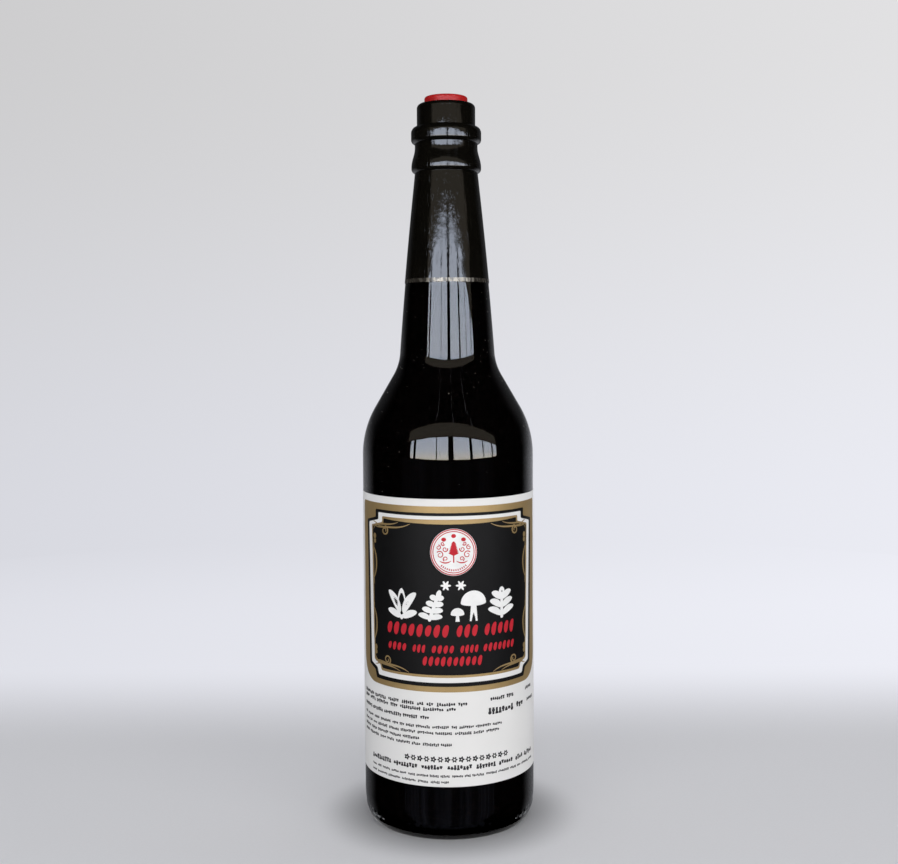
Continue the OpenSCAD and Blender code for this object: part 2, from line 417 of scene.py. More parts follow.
class Form:
    """Derived places of the bottle's outline, worked out from its sizes."""

    def __init__(self, sizes):
        g, c = sizes.glass, sizes.closure
        self.g, self.c = g, c
        slope = g.shoulder_slope
        self.neck_slope = math.atan(
            (g.neck_root_r - g.neck_top_r - 4 * g.neck_bow) / g.neck_len)
        turn_out_r = g.body_r - g.shoulder_r * (1 - math.cos(slope))
        turn_out_z = g.body_h + g.shoulder_r * math.sin(slope)
        self.hollow_x = g.neck_root_r + g.neck_turn_r * math.cos(self.neck_slope)
        turn_in_r = self.hollow_x - g.neck_turn_r * math.cos(slope)
        turn_in_z = turn_out_z + (turn_out_r - turn_in_r) / math.tan(slope)
        self.hollow_z = turn_in_z + g.neck_turn_r * math.sin(slope)
        self.neck_z = self.hollow_z - g.neck_turn_r * math.sin(self.neck_slope)
        self.film_z = capsule_low.z
        self.ring_z = self.neck_z + g.neck_len
        self.crest_z = self.ring_z + g.ring_out + g.ring_crest_h
        self.waist_z = self.crest_z + g.ring_taper_h
        self.bead_r = g.neck_top_r + g.bead_out
        self.bead_z = self.waist_z + g.waist_h
        self.lip_z = self.bead_z + g.bead_h
        self.mouth_r = g.neck_top_r - g.mouth_wall
        self.collar_r = self.bead_r - g.bead_round - c.collar_in
        self.collar_z = capsule_high.z
        self.collar_top_r = self.collar_r - c.collar_round
        self.disc_r = self.collar_top_r - c.rim_w
        self.foot_r = g.body_r - g.heel_in

    def heel(self, steps):
        """Quarter of an ellipse from the foot ring up to the body."""
        g = self.g
        return arc(self.foot_r, g.heel_h, g.heel_in, g.heel_h, -90, 0, steps)

    def shoulder(self, steps):
        """A round turn, a straight slope and a hollow turn, all tangent."""
        g = self.g
        slope = math.degrees(g.shoulder_slope)
        out = arc(g.body_r - g.shoulder_r, g.body_h, g.shoulder_r, g.shoulder_r, 0, slope, steps)
        hollow = arc(self.hollow_x, self.hollow_z, g.neck_turn_r, g.neck_turn_r,
                     180 + slope, 180 + math.degrees(self.neck_slope), steps)
        return chain(out, straight(out[-1], hollow[0], 4), hollow)

    def neck(self, start, end, steps):
        """A straight taper, swollen by a parabola that is highest halfway up."""
        g = self.g
        t = np.linspace(start, end, steps + 1)
        radius = g.neck_root_r + (g.neck_top_r - g.neck_root_r) * t + 4 * g.neck_bow * t * (1 - t)
        return np.column_stack([radius, self.neck_z + g.neck_len * t])

    def film_share(self):
        """Share of the neck's length at which the film begins."""
        return (self.film_z - self.neck_z) / self.g.neck_len

    def rings(self, steps):
        """The lower ring, its half-wave taper, the waist and the lip's bead."""
        g = self.g
        t = np.linspace(0, 1, 2 * steps + 1)
        taper = np.column_stack([
            g.neck_top_r + g.ring_out * (1 + np.cos(np.pi * t)) / 2,
            self.crest_z + g.ring_taper_h * t])
        return chain(
            arc(g.neck_top_r, self.ring_z + g.ring_out, g.ring_out, g.ring_out, -90, 0, steps),
            taper,
            arc(g.neck_top_r, self.bead_z + g.bead_out, g.bead_out, g.bead_out, -90, 0, steps),
            arc(self.bead_r - g.bead_round, self.lip_z - g.bead_round,
                g.bead_round, g.bead_round, 0, 90, steps))

    def collar(self, steps):
        """The stopper's collar, from the lip up to its rounded rim."""
        r = self.c.collar_round
        return chain([[self.collar_r, self.lip_z]],
                     arc(self.collar_top_r, self.collar_z - r, r, r, 0, 90, steps))

    def inside(self, steps):
        """The glass's inner line: floor, corner and wall, up to the bore."""
        g = self.g
        corner_x = g.body_r - g.wall - g.floor_corner_r
        t = np.linspace(0, 1, steps + 1)
        swell = g.push_up_h + g.floor_t - g.foot_t
        floor = np.column_stack([corner_x * t, g.foot_t + swell * (1 + np.cos(np.pi * t)) / 2])
        corner = arc(corner_x, g.foot_t + g.floor_corner_r,
                     g.floor_corner_r, g.floor_corner_r, -90, 0, steps)
        wall = beside(chain(self.shoulder(steps), self.neck(0, 1, 2 * steps)), -g.wall)
        bore_z = self.lip_z - g.mouth_depth
        wall = wall[wall[:, 1] < bore_z - g.wall]
        return chain(floor, corner, wall, [[self.mouth_r, bore_z]])


def build_glass(sizes):
    """The glass in one closed skin: up the outside, over the lip, down the inside."""
    form = Form(sizes)
    g = form.g
    hollow_r = form.foot_r - g.foot_w
    dome_r = (hollow_r ** 2 + g.push_up_h ** 2) / (2 * g.push_up_h)
    edge = math.degrees(math.asin(hollow_r / dome_r))
    dome = arc(0, g.push_up_h - dome_r, dome_r, dome_r, 90, 90 - edge, 10)
    line = chain(
        dome, straight(dome[-1], (form.foot_r, 0), 3), form.heel(48),
        straight((g.body_r, g.heel_h), (g.body_r, g.body_h), 14), form.shoulder(26),
        form.neck(0, 1, 16), form.rings(5), [[form.mouth_r, form.lip_z]],
        form.inside(12)[::-1])
    columns = 5 * g.dot_count

    def shift(angle, height):
        """Moulded dots round the heel, and a ridge along each of the two mould seams."""
        dot = np.clip(np.cos(g.dot_count * angle), 0, 1) ** 0.5
        dot = dot * np.exp(-((height - g.dot_z) / g.dot_h) ** 2) * g.dot_out
        seam = np.exp(-(np.cos(angle) * g.body_r / g.seam_w) ** 2) * g.seam_out
        return dot + seam * np.clip((height - 2 * MM) / (4 * MM), 0, 1)

    points, faces = turned(line, columns, shift)
    plain, _ = turned(line, columns)
    top_row = int(np.argmax(line[:, 1] > form.lip_z - 1e-6))
    points[top_row:] = plain[top_row:]
    return points, faces


class BOTTLE_OT_glass(bpy.types.Operator):
    """Makes the clear glass, with its heel's dots and its mould seams"""

    bl_idname = "bottle.glass"
    bl_label = "Glass"

    def execute(self, context):
        sizes = context.scene.sauce_bottle
        piece = add_piece("glass_bottle", [build_glass(sizes)], ["bottle"])

        def vary(place):
            waves = place.stretched(1, 1, 0.12).noise(60, 1.0)
            return {"Normal": waves.relief(0.0001, 0.25)}

        finish(piece, "clear_glass", {
            "Base Color": rgba(sizes.colours.glass), "Roughness": 0.0, "IOR": 1.5,
            "Transmission Weight": 1.0}, vary)
        return {"FINISHED"}


class BOTTLE_OT_sauce(bpy.types.Operator):
    """Makes the sauce, which fills the glass and reaches just into its wall"""

    bl_idname = "bottle.sauce"
    bl_label = "Sauce"

    def execute(self, context):
        sizes = context.scene.sauce_bottle
        form = Form(sizes)
        line = beside(form.inside(12), sizes.closure.fill_bite)
        line[0, 0] = 0
        line = line[line[:, 1] < sauce_high.z]
        rim = [line[-1, 0], sauce_high.z]
        line = chain(line, [rim], [[0, sauce_high.z]])
        piece = add_piece("sauce_fill", [turned(line, 128)], ["soy_sauce"])
        dark = sizes.colours.sauce

        def vary(place):
            cloud = place.noise(30, 3.0)
            return {"Base Color": cloud.tints(dark, 0.7, 1.4),
                    "Roughness": 0.25 + 0.2 * cloud}

        finish(piece, "dark_sauce", {"Specular IOR Level": 0.0}, vary)
        return {"FINISHED"}


class BOTTLE_OT_stopper(bpy.types.Operator):
    """Makes the red push-in stopper, with its dished disc"""

    bl_idname = "bottle.stopper"
    bl_label = "Stopper"

    def execute(self, context):
        sizes = context.scene.sauce_bottle
        form = Form(sizes)
        c = form.c
        plug_r = form.mouth_r - c.plug_gap
        top = stopper_high.z
        rounding = c.disc_round
        rim = form.disc_r - rounding
        dish = straight((rim - 0.8 * MM, top), (rim - 1.6 * MM, top - c.disc_dish), 3)
        dimple_z = top - c.disc_dish - c.disc_dimple
        line = chain(
            [[0, stopper_low.z], [plug_r - c.plug_chamfer, stopper_low.z]],
            [[plug_r, stopper_low.z + c.plug_chamfer], [plug_r, form.lip_z]],
            form.collar(8) - [c.touch, c.touch],
            straight((form.disc_r, form.collar_z - c.touch), (form.disc_r, top - rounding), 6),
            arc(rim, top - rounding, rounding, rounding, 0, 90, 8),
            dish,
            straight(dish[-1], (1.6 * MM, top - c.disc_dish), 3),
            [[1.2 * MM, dimple_z], [0, dimple_z]])
        piece = add_piece("red_stopper", [turned(line, 144)], ["stopper"])
        red = sizes.colours.stopper

        def vary(place):
            cloud = place.noise(160, 3.0)
            grain = place.noise(1400, 2.0)
            return {"Base Color": cloud.tints(red, 0.85, 1.12),
                    "Roughness": 0.30 + 0.14 * grain,
                    "Normal": (grain + cloud * 3).relief(0.00003, 0.6)}

        finish(piece, "red_plastic", {"Specular IOR Level": 0.25}, vary)
        return {"FINISHED"}


class BOTTLE_OT_capsule(bpy.types.Operator):
    """Makes the shrink film over the stopper and neck, and the metal stripe at its edge"""

    bl_idname = "bottle.capsule"
    bl_label = "Capsule"

    def execute(self, context):
        sizes = context.scene.sauce_bottle
        form = Form(sizes)
        self.film(form, sizes.colours.film)
        self.stripe(form, sizes.colours.stripe)
        return {"FINISHED"}

    def film(self, form, dark):
        """One closed skin: out over the glass and the collar, and back along the inside."""
        c = form.c
        inside = chain(form.neck(form.film_share(), 1, 40), form.rings(10), form.collar(8),
                       [[form.disc_r + c.film_gap, form.collar_z]])
        outside = beside(inside, c.film_t)

        def creases(angle, height):
            """Fine upright pleats, deepest where the film has shrunk over a step."""
            steps = np.array([form.ring_z, form.waist_z, form.lip_z, form.collar_z])
            near = sum(np.exp(-((height - step) / c.crease_h) ** 2) for step in steps)
            pleat = (np.sin(23 * angle + 90 * height) + np.sin(37 * angle + 1.3)
                     + np.sin(61 * angle - 140 * height))
            return c.crease * (0.12 + 0.5 * near) * pleat / 3

        columns = 256
        outer_points, _ = turned(outside, columns, creases)
        inner_points, _ = turned(inside, columns)
        points = np.concatenate([outer_points, inner_points[::-1]])
        faces = grid_faces(len(points), columns, loop_rows=True)
        piece = add_piece("film_capsule", [(points, faces)], ["capsule"])
        lean_h = c.collar_round + 6 * MM

        def vary(place):
            pleats = place.stretched(1, 1, 0.03).noise(900, 3.0)
            cloth = place.stretched(1, 1, 0.5).noise(210, 5.0, 0.75)
            grain = place.noise(1500, 2.0)
            loose = cloth.step(0.50, 0.64)
            up = place.axis("Z")
            over_lip = (up - form.lip_z).kept(0.0, lean_h)
            shrunk = up.step(form.film_z + 8 * MM, form.film_z + 16 * MM)
            hairs = place.stretched(1, 1, 0.0015).noise(1500, 2.0).step(0.62, 0.68) * 0.25
            height = (((pleats * 0.5 + hairs) + grain * 0.03) + cloth * shrunk * 1.5) * 0.0001
            leant = height - over_lip * math.tan(c.film_lean)
            return {"Base Color": cloth.tints(dark, 0.7, 1.5),
                    "Roughness": 0.015 + 0.05 * loose + 0.02 * grain,
                    "Normal": leant.relief(1.0, 0.7)}

        finish(piece, "shrink_film", {"IOR": 1.5}, vary)

    def stripe(self, form, pale):
        """A thin band round the film's lower edge, half sunk in its surface."""
        c = form.c
        top = capsule_low.z + c.stripe_h
        share = (top - form.neck_z) / form.g.neck_len
        base = form.neck(form.film_share(), share, 6)
        face = beside(base, c.film_t + c.stripe_out)
        back = beside(base, c.film_t - c.stripe_out)
        line = np.concatenate([face, back[::-1]])
        piece = add_piece("capsule_stripe", [turned(line, 192, loop=True)])

        def vary(place):
            worn = place.stretched(1, 1, 0.3).noise(700, 3.0, 0.6).step(0.38, 0.62)
            return {"Base Color": worn.tints(pale, 0.3, 1.3),
                    "Roughness": 0.14 + 0.2 * worn,
                    "Metallic": 0.6 + 0.3 * worn,
                    "Normal": place.stretched(1, 1, 0.2).noise(500).relief(0.00005, 0.5)}

        finish(piece, "metal_stripe", {}, vary)


# Print --------------------------------------------------------------------
# Print is drawn flat, in millimetres: x is measured round the bottle from the
# print's middle, rising to the right, and y upwards from the label's lower edge.

class Print:
    """Places flat print on the label, each layer a little outside the last."""

    def __init__(self, sizes):
        self.sizes = sizes.label
        self.body = sizes.glass.body_r

    def ripple(self, x, y):
        """Two crossing slow waves, in metres."""
        wave = np.sin(x / 7.3 + y / 19.0) + np.sin(y / 5.9 - x / 23.0 + 1.0)
        return self.sizes.ripple * wave / 2

    def radius(self, layer):
        """Radius of a layer's face; layer 0 is the paper."""
        return self.body + self.sizes.paper_out + layer * self.sizes.ink_step

    def placed(self, flat, radius):
        """Flat points wrapped round the bottle: the angle is x over the paper's radius."""
        x = flat[..., 0] + self.sizes.turn / MM
        y = flat[..., 1]
        angle = x * MM / self.radius(0)
        r = radius + self.ripple(x, y)
        return np.stack([r * np.sin(angle), -r * np.cos(angle), label_low.z + y * MM], -1)

    def inked(self, flat, layer, closed=False, pole=False):
        """A flat grid [along, across] as a thin solid: its face, its back and its edges."""
        face = self.placed(flat, self.radius(layer))
        back = self.placed(flat, self.radius(layer) - 0.6 * self.sizes.ink_step)
        return slab(face, back, closed, pole)

    def strokes(self, grids, layer):
        """Open strokes, each as a thin solid."""
        return [self.inked(grid, layer) for grid in grids]

    def blots(self, outlines, layer, rings=3):
        """Closed outlines, each filled and as a thin solid."""
        return [self.inked(fan(outline, rings), layer, closed=True, pole=True)
                for outline in outlines]

    def bands(self, grids, layer):
        """Closed strips, each as a thin solid."""
        return [self.inked(grid, layer, closed=True) for grid in grids]


def printed(name, parts):
    """One printed object made of thin solids."""
    return add_piece(name, parts, outward=False)


def slab(face, back, closed=False, pole=False):
    """Two matching grids as one closed solid: face, back, long edges and both ends."""
    rows, across = face.shape[:2]
    points = np.concatenate([face, back[:, ::-1]], axis=1)
    faces = grid_faces(rows, 2 * across, closed, not pole)
    if not closed:
        j = np.arange(across - 1)
        cap = np.stack([j, j + 1, 2 * across - 2 - j, 2 * across - 1 - j], -1)
        end = cap + (rows - 1) * 2 * across
        faces = np.concatenate([faces, cap[:, ::-1], end])
    return points, faces


def stroke(path, width, closed=False, across=2):
    """A path with a width: each point is spread along the path's normal."""
    path = np.asarray(path, float)
    if closed:
        along = np.roll(path, -1, 0) - np.roll(path, 1, 0)
    else:
        along = np.gradient(path, axis=0)
    along /= np.maximum(np.linalg.norm(along, axis=1)[:, None], 1e-9)
    normal = np.column_stack([-along[:, 1], along[:, 0]])
    side = np.linspace(-0.5, 0.5, across)
    spread = np.broadcast_to(width, len(path))[:, None] * side[None, :]
    return path[:, None] + normal[:, None] * spread[..., None]


def curve(points, steps=24):
    """A Bezier curve of any order, drawn from its control points."""
    points = np.asarray(points, float)
    t = np.linspace(0, 1, steps + 1)[:, None]
    order = len(points) - 1
    return sum(
        math.comb(order, i) * t ** i * (1 - t) ** (order - i) * point
        for i, point in enumerate(points))


def leaf(start, end, width, bend=0.0, blunt=0.6, steps=16):
    """A lens along a bowed line: its width is the sine of the way along, to a power."""
    start, end = np.asarray(start, float), np.asarray(end, float)
    along = end - start
    middle = (start + end) / 2 + bend * np.array([-along[1], along[0]])
    path = curve([start, middle, end], steps)
    t = np.linspace(0, 1, steps + 1)
    return stroke(path, width * np.sin(np.pi * np.clip(t, 0.004, 0.996)) ** blunt)


def bar(start, end, width, steps=None):
    """A straight stroke with round ends: its width is a flattened half circle."""
    start, end = np.asarray(start, float), np.asarray(end, float)
    size = np.linalg.norm(end - start)
    steps = steps or max(8, int(size / 0.6))
    t = (1 - np.cos(np.linspace(0, np.pi, steps + 1))) / 2
    reach = np.clip(np.minimum(t, 1 - t) * size / (width / 2), 0, 1)
    path = start + (end - start) * t[:, None]
    return stroke(path, width * np.sqrt(np.maximum(1 - (1 - reach) ** 2, 0.004)))


def ellipse(x, y, rx, ry, tilt=0.0, steps=28):
    """A closed ellipse, tilted by an angle in degrees."""
    t = np.linspace(0, 2 * np.pi, steps, endpoint=False)
    flat = np.column_stack([rx * np.cos(t), ry * np.sin(t)])
    a = math.radians(tilt)
    turn = np.array([[math.cos(a), math.sin(a)], [-math.sin(a), math.cos(a)]])
    return flat @ turn + [x, y]


def rosette(x, y, radius, petals, depth, steps=40):
    """A closed flower: its radius swings by `depth` once for each petal."""
    t = np.linspace(0, 2 * np.pi, steps, endpoint=False)
    r = radius * (1 - depth / 2 + depth / 2 * np.cos(petals * t))
    return np.column_stack([x + r * np.cos(t), y + r * np.sin(t)])


def fan(outline, rings):
    """An outline filled from its middle outwards: point = middle + share (edge - middle)."""
    middle = outline.mean(0)
    share = np.linspace(0, 1, rings + 1)[None, :, None]
    return middle + share * (outline[:, None] - middle)


def band(outer, inner, across):
    """The strip between two outlines with matching points."""
    share = np.linspace(0, 1, across + 1)[None, :, None]
    return outer[:, None] + share * (inner - outer)[:, None]


def mirrored(corners):
    """Corners of the right half, from top to bottom, and their mirror images."""
    corners = np.asarray(corners, float)
    return np.concatenate([corners, corners[::-1] * [-1, 1]])


def inset(corners, top, side, bottom):
    """A polygon moved inwards: each side by its own width, corners where they meet."""
    along = np.roll(corners, -1, 0) - corners
    along /= np.linalg.norm(along, axis=1)[:, None]
    inward = np.column_stack([along[:, 1], -along[:, 0]])
    upright = np.abs(inward[:, 0]) > 0.6
    width = np.where(upright, side, np.where(inward[:, 1] < 0, top, bottom))
    start = corners + inward * width[:, None]
    before = np.roll(start, 1, 0)
    before_along = np.roll(along, 1, 0)
    cross = before_along[:, 0] * along[:, 1] - before_along[:, 1] * along[:, 0]
    gap = start - before
    reach = (gap[:, 0] * along[:, 1] - gap[:, 1] * along[:, 0]) / cross
    return before + before_along * reach[:, None]


def rounded(corners, radii, counts):
    """A closed outline: straight sides with `counts` points each and, at each corner,
    a quadratic curve that starts and ends as far from the corner as its radius."""
    size = len(corners)
    parts = []
    for i in range(size):
        here, before, after = corners[i], corners[i - 1], corners[(i + 1) % size]
        back, on = before - here, after - here
        back_len, on_len = np.linalg.norm(back), np.linalg.norm(on)
        reach = min(radii[i], 0.45 * back_len, 0.45 * on_len)
        first = here + back / back_len * reach
        last = here + on / on_len * reach
        parts.append(curve([first, here, last], 6))
        following = corners[(i + 2) % size] - after
        next_reach = min(radii[(i + 1) % size], 0.45 * on_len, 0.45 * np.linalg.norm(following))
        goal = after - on / on_len * next_reach
        parts.append(straight(last, goal, counts[i])[1:-1])
    return np.concatenate(parts)


def frame_outlines(label):
    """Nested outlines of the frame, from the gold's outer edge to the panel's edge."""
    half = label.frame_w / MM / 2
    top, bottom = label.line_top / MM, label.line_bottom / MM
    notched = mirrored([
        (35.2, top), (35.2, top - 3.3), (42.9, top - 5.0),
        (41.3, bottom + 4.9), (36.4, bottom + 3.3), (35.2, bottom)])
    gold_top, gold_bottom = label.frame_top / MM, label.frame_bottom / MM
    boxed = mirrored([
        (half - 6, gold_top), (half - 0.9, gold_top), (half, gold_top - 1.2),
        (half, gold_bottom + 7.5), (half - 3.2, gold_bottom + 2.6), (half - 9, gold_bottom)])
    sides = np.linalg.norm(np.roll(notched, -1, 0) - notched, axis=1)
    counts = np.maximum(3, (sides / 1.0).astype(int))
    tight = np.full(12, 0.7)
    black = rounded(notched, tight, counts)
    white = inset(notched, 1.2, 1.9, 1.55)
    gold = inset(notched, 2.6, 4.4, 3.6)
    panel = inset(notched, 3.3, 5.2, 4.6)
    gold_line = rounded(gold, tight, counts)
    panel_line = rounded(panel, tight, counts)
    crescent = np.clip(1 - (panel_line[:, 0] / 31) ** 2, 0, 1)
    upper = panel_line[:, 1] > panel[:, 1].max() - 0.2
    panel_line[:, 1] -= 1.15 * crescent * upper
    soft = np.array([1.5, 2.0, 1.5, 6.0, 4.5, 6.0, 6.0, 4.5, 6.0, 1.5, 2.0, 1.5])
    return {"outer": rounded(boxed, soft, counts), "black": black,
            "white": rounded(white, tight, counts), "gold": gold_line, "panel": panel_line}


def both_sides(grids):
    """The shapes and their mirror images about the print's middle."""
    return [*grids, *(grid * [-1, 1] for grid in grids)]


def ink(piece, name, tone, speck=0.0, gloss=0.40):
    """Printed ink: cloudy, with a fine grain and, where the ink is thin, paper showing."""
    def vary(place):
        cloud = place.noise(240, 3.0)
        grain = place.noise(5200, 1.0)
        base = cloud.tints(tone, 0.88, 1.12)
        if speck:
            thin = grain.step(0.74, 0.80) * speck
            base = thin.mix(base, (0.5, 0.5, 0.5))
        return {"Base Color": base, "Roughness": gloss + 0.12 * cloud,
                "Normal": grain.relief(0.00001, 0.35)}

    finish(piece, name, {"Specular IOR Level": 0.09}, vary)


class BOTTLE_OT_paper(bpy.types.Operator):
    """Makes the paper label, with its lap at the back"""

    bl_idname = "bottle.paper"
    bl_label = "Paper"

    def execute(self, context):
        sizes = context.scene.sauce_bottle
        place_on = Print(sizes)
        label = sizes.label
        half = math.pi * place_on.radius(0) / MM
        lap = label.lap / MM
        height = (label_high.z - label_low.z) / MM
        x = np.linspace(-half - lap / 2, half + lap / 2, 480) - label.turn / MM
        y = np.linspace(0, height, 24)
        grid = np.stack(np.meshgrid(x, y, indexing="ij"), -1)
        ramp = label.lap_ramp / MM
        share = np.clip((x - (x[-1] - lap - ramp)) / ramp, 0, 1)
        lift = share * share * (3 - 2 * share) * label.lap_lift
        face, back = (place_on.placed(grid, place_on.radius(0) - depth)
                      for depth in (0, label.paper_t))
        for side in (face, back):
            side[..., :2] *= (1 + lift / place_on.radius(0))[:, None, None]
        piece = add_piece("paper_label", [slab(face, back)], ["label"],
                          outward=False)
        tone = sizes.colours.paper

        def vary(place):
            cloud = place.noise(45, 3.0)
            fibre = place.stretched(1, 1, 3).noise(2600, 3.0, 0.6)
            return {"Base Color": (cloud * 0.6 + fibre * 0.4).tints(tone, 0.95, 1.05),
                    "Roughness": 0.42 + 0.16 * fibre,
                    "Normal": fibre.relief(0.00002, 0.4)}

        finish(piece, "coated_paper", {"Specular IOR Level": 0.12}, vary)
        return {"FINISHED"}


class BOTTLE_OT_label_frame(bpy.types.Operator):
    """Prints the gold frame, the black line in it and the black panel"""

    bl_idname = "bottle.label_frame"
    bl_label = "Label Frame"

    def execute(self, context):
        sizes = context.scene.sauce_bottle
        place_on = Print(sizes)
        lines = frame_outlines(sizes.label)
        colours = sizes.colours
        gold = printed("gold_frame", place_on.bands(
            [band(lines["outer"], lines["black"], 6), band(lines["gold"], lines["panel"], 3)], 1))
        gold_ink(gold, "gold_ink", colours.gold)
        line = printed("black_line", place_on.bands([band(lines["black"], lines["white"], 3)], 1))
        ink(line, "black_line_ink", colours.black, speck=0.05)
        panel = printed("black_panel", place_on.blots([lines["panel"]], 1, 44))
        ink(panel, "black_panel_ink", colours.black, speck=0.03)
        return {"FINISHED"}


def gold_ink(piece, name, tone):
    """Metallic ink: fine flakes that vary its shine."""
    def vary(place):
        flake = place.noise(4200, 1.0)
        cloud = place.noise(120, 3.0)
        return {"Base Color": (flake * 0.7 + cloud * 0.3).tints(tone, 0.75, 1.35),
                "Roughness": 0.44 + 0.20 * flake,
                "Normal": flake.relief(0.00001, 0.5)}

    finish(piece, name, {"Metallic": 0.45}, vary)


class BOTTLE_OT_label_scrolls(bpy.types.Operator):
    """Prints the gold scrolls, beads and brackets inside the frame"""

    bl_idname = "bottle.label_scrolls"
    bl_label = "Label Scrolls"

    def execute(self, context):
        sizes = context.scene.sauce_bottle
        place_on = Print(sizes)
        scrolls = both_sides([*upper_scrolls(), *side_brackets(), *lower_scrolls()])
        beads = both_sides(frame_beads())
        piece = printed("gold_scrolls", place_on.strokes(scrolls, 2) + place_on.blots(beads, 2))
        gold_ink(piece, "gold_scroll_ink", sizes.colours.gold)
        return {"FINISHED"}


def curl(x, y, radius, start, turns, width, steps=40):
    """A spiral that winds in to its middle and thins on the way."""
    t = np.linspace(0, 1, steps + 1)
    angle = math.radians(start) + 2 * np.pi * turns * t
    r = radius * (1 - 0.72 * t)
    path = np.column_stack([x + r * np.cos(angle), y + r * np.sin(angle)])
    return stroke(path, width * (1 - 0.45 * t))


def swept(points, width, steps=28):
    """A curve that thins to both its ends."""
    t = np.linspace(0.02, 0.98, steps + 1)
    return stroke(curve(points, steps), width * np.sin(np.pi * t) ** 0.6)


def upper_scrolls():
    """Right-hand scrolls under the frame's upper corners."""
    return [
        swept([(36.6, 102.6), (33.0, 100.2), (29.0, 104.2), (24.0, 100.4), (16.5, 104.3)], 0.75),
        swept([(37.0, 100.4), (35.6, 103.4), (31.5, 103.6), (26.5, 102.6), (22.0, 104.6)], 0.65),
        curl(29.2, 100.7, 1.9, 95, 1.35, 0.7),
        swept([(37.2, 103.8), (34.0, 103.6), (32.6, 101.4), (30.6, 102.5)], 0.6),
    ]


def lower_scrolls():
    """Right-hand scrolls over the frame's lower corners."""
    return [
        swept([(36.0, 46.6), (32.5, 49.6), (28.5, 44.6), (24.0, 49.0), (17.4, 45.0)], 0.75),
        swept([(36.2, 49.4), (34.8, 46.0), (30.5, 46.4), (26.0, 47.2), (21.4, 45.0)], 0.65),
        curl(28.2, 48.7, 1.9, -95, -1.35, 0.7),
        swept([(36.4, 45.6), (33.6, 45.8), (31.8, 48.0), (29.6, 46.8)], 0.6),
    ]


def side_brackets():
    """Right-hand brackets: two long bows on the panel's edge, each hooked at both ends."""
    grids = []
    for low, high in ((80.6, 93.4), (55.4, 68.8)):
        middle = (low + high) / 2
        grids.append(swept([(36.9, high), (34.2, middle + 3), (34.2, middle - 3), (36.9, low)], 0.9))
        grids.append(swept([(36.9, middle + 1), (37.4, low + 2), (36.4, low - 2.5)], 0.6))
        grids.append(swept([(36.9, middle - 1), (37.4, high - 2), (36.6, high + 2.0)], 0.6))
    return grids


def frame_beads():
    """Right-hand beads: a pair of small ovals by each corner."""
    return [
        ellipse(36.0, 97.9, 0.95, 1.15), ellipse(35.9, 95.9, 0.8, 0.95),
        ellipse(35.7, 52.6, 0.95, 1.15), ellipse(35.6, 50.7, 0.8, 0.95),
    ]


class BOTTLE_OT_emblem(bpy.types.Operator):
    """Prints the round emblem: a white disc, two red rings, and a plain sprig in curls"""

    bl_idname = "bottle.emblem"
    bl_label = "Emblem"

    def execute(self, context):
        sizes = context.scene.sauce_bottle
        place_on = Print(sizes)
        label = sizes.label
        x, y, r = label.emblem_x / MM, label.emblem_y / MM, label.emblem_r / MM
        edge, outer, inner = (ellipse(x, y, r - less, r - less, steps=96)
                              for less in (0, 0.35, 1.15))
        disc = printed("emblem_disc", place_on.blots([edge], 2, 12))
        ink(disc, "emblem_white_ink", sizes.colours.white)
        parts = place_on.bands(
            [stroke(outer, 0.42, closed=True), stroke(inner, 0.34, closed=True)], 3)
        parts += place_on.strokes(sprig(x, y - 0.4, 7.6), 3)
        spots = [ellipse(x + right, y + up, 0.95, 0.8, steps=20)
                 for right, up in ((-3.9, 5.0), (0.0, 6.4), (3.9, 5.0))]
        parts += place_on.blots(spots, 3, 2)
        parts += place_on.strokes([*emblem_rays(x, y, r), *emblem_curls(x, y)], 3)
        marks = printed("emblem_print", parts)
        ink(marks, "emblem_red_ink", sizes.colours.red, speck=0.12)
        return {"FINISHED"}


def emblem_rays(x, y, radius):
    """Short strokes along the rim's lower part, all pointing to the middle."""
    rays = []
    for turn in np.radians(np.linspace(-42, 42, 13) - 90):
        way = np.array([math.cos(turn), math.sin(turn)])
        rays.append(bar([x, y] + (radius - 2.6) * way, [x, y] + (radius - 1.75) * way, 0.42))
    return rays


def emblem_curls(x, y):
    """Five curls on each side of the sprig, over one bow."""
    curls = []
    for side in (-1, 1):
        for out, up, size, start in (
                (5.4, -1.0, 1.5, 40), (3.4, 1.2, 1.1, 160), (6.0, 1.9, 1.0, 90),
                (3.2, -2.6, 1.0, -60), (4.3, 3.4, 0.8, 200)):
            start = start if side > 0 else 180 - start
            curls.append(curl(x + side * out, y + up, size, start, side * 1.2, 0.42, 24))
        curls.append(swept([(x + side * 1.0, y - 3.4), (x + side * 3.2, y - 5.0),
                            (x + side * 5.6, y - 3.4)], 0.5))
    return curls


def sprig(x, y, height):
    """A stem under a dense spike: pairs of leaves that grow shorter upwards, and a tip."""
    grids = [bar((x, y - height / 2), (x, y + height * 0.3), 0.5)]
    for i in range(8):
        level = y - height * 0.14 + i * height * 0.072
        reach = height * (0.27 - 0.022 * i)
        for side in (-1, 1):
            grids.append(leaf((x - side * 0.2, level), (x + side * reach, level + height * 0.15),
                              0.72, side * 0.2))
    grids.append(leaf((x, y + height * 0.32), (x, y + height * 0.62), 1.5))
    return grids


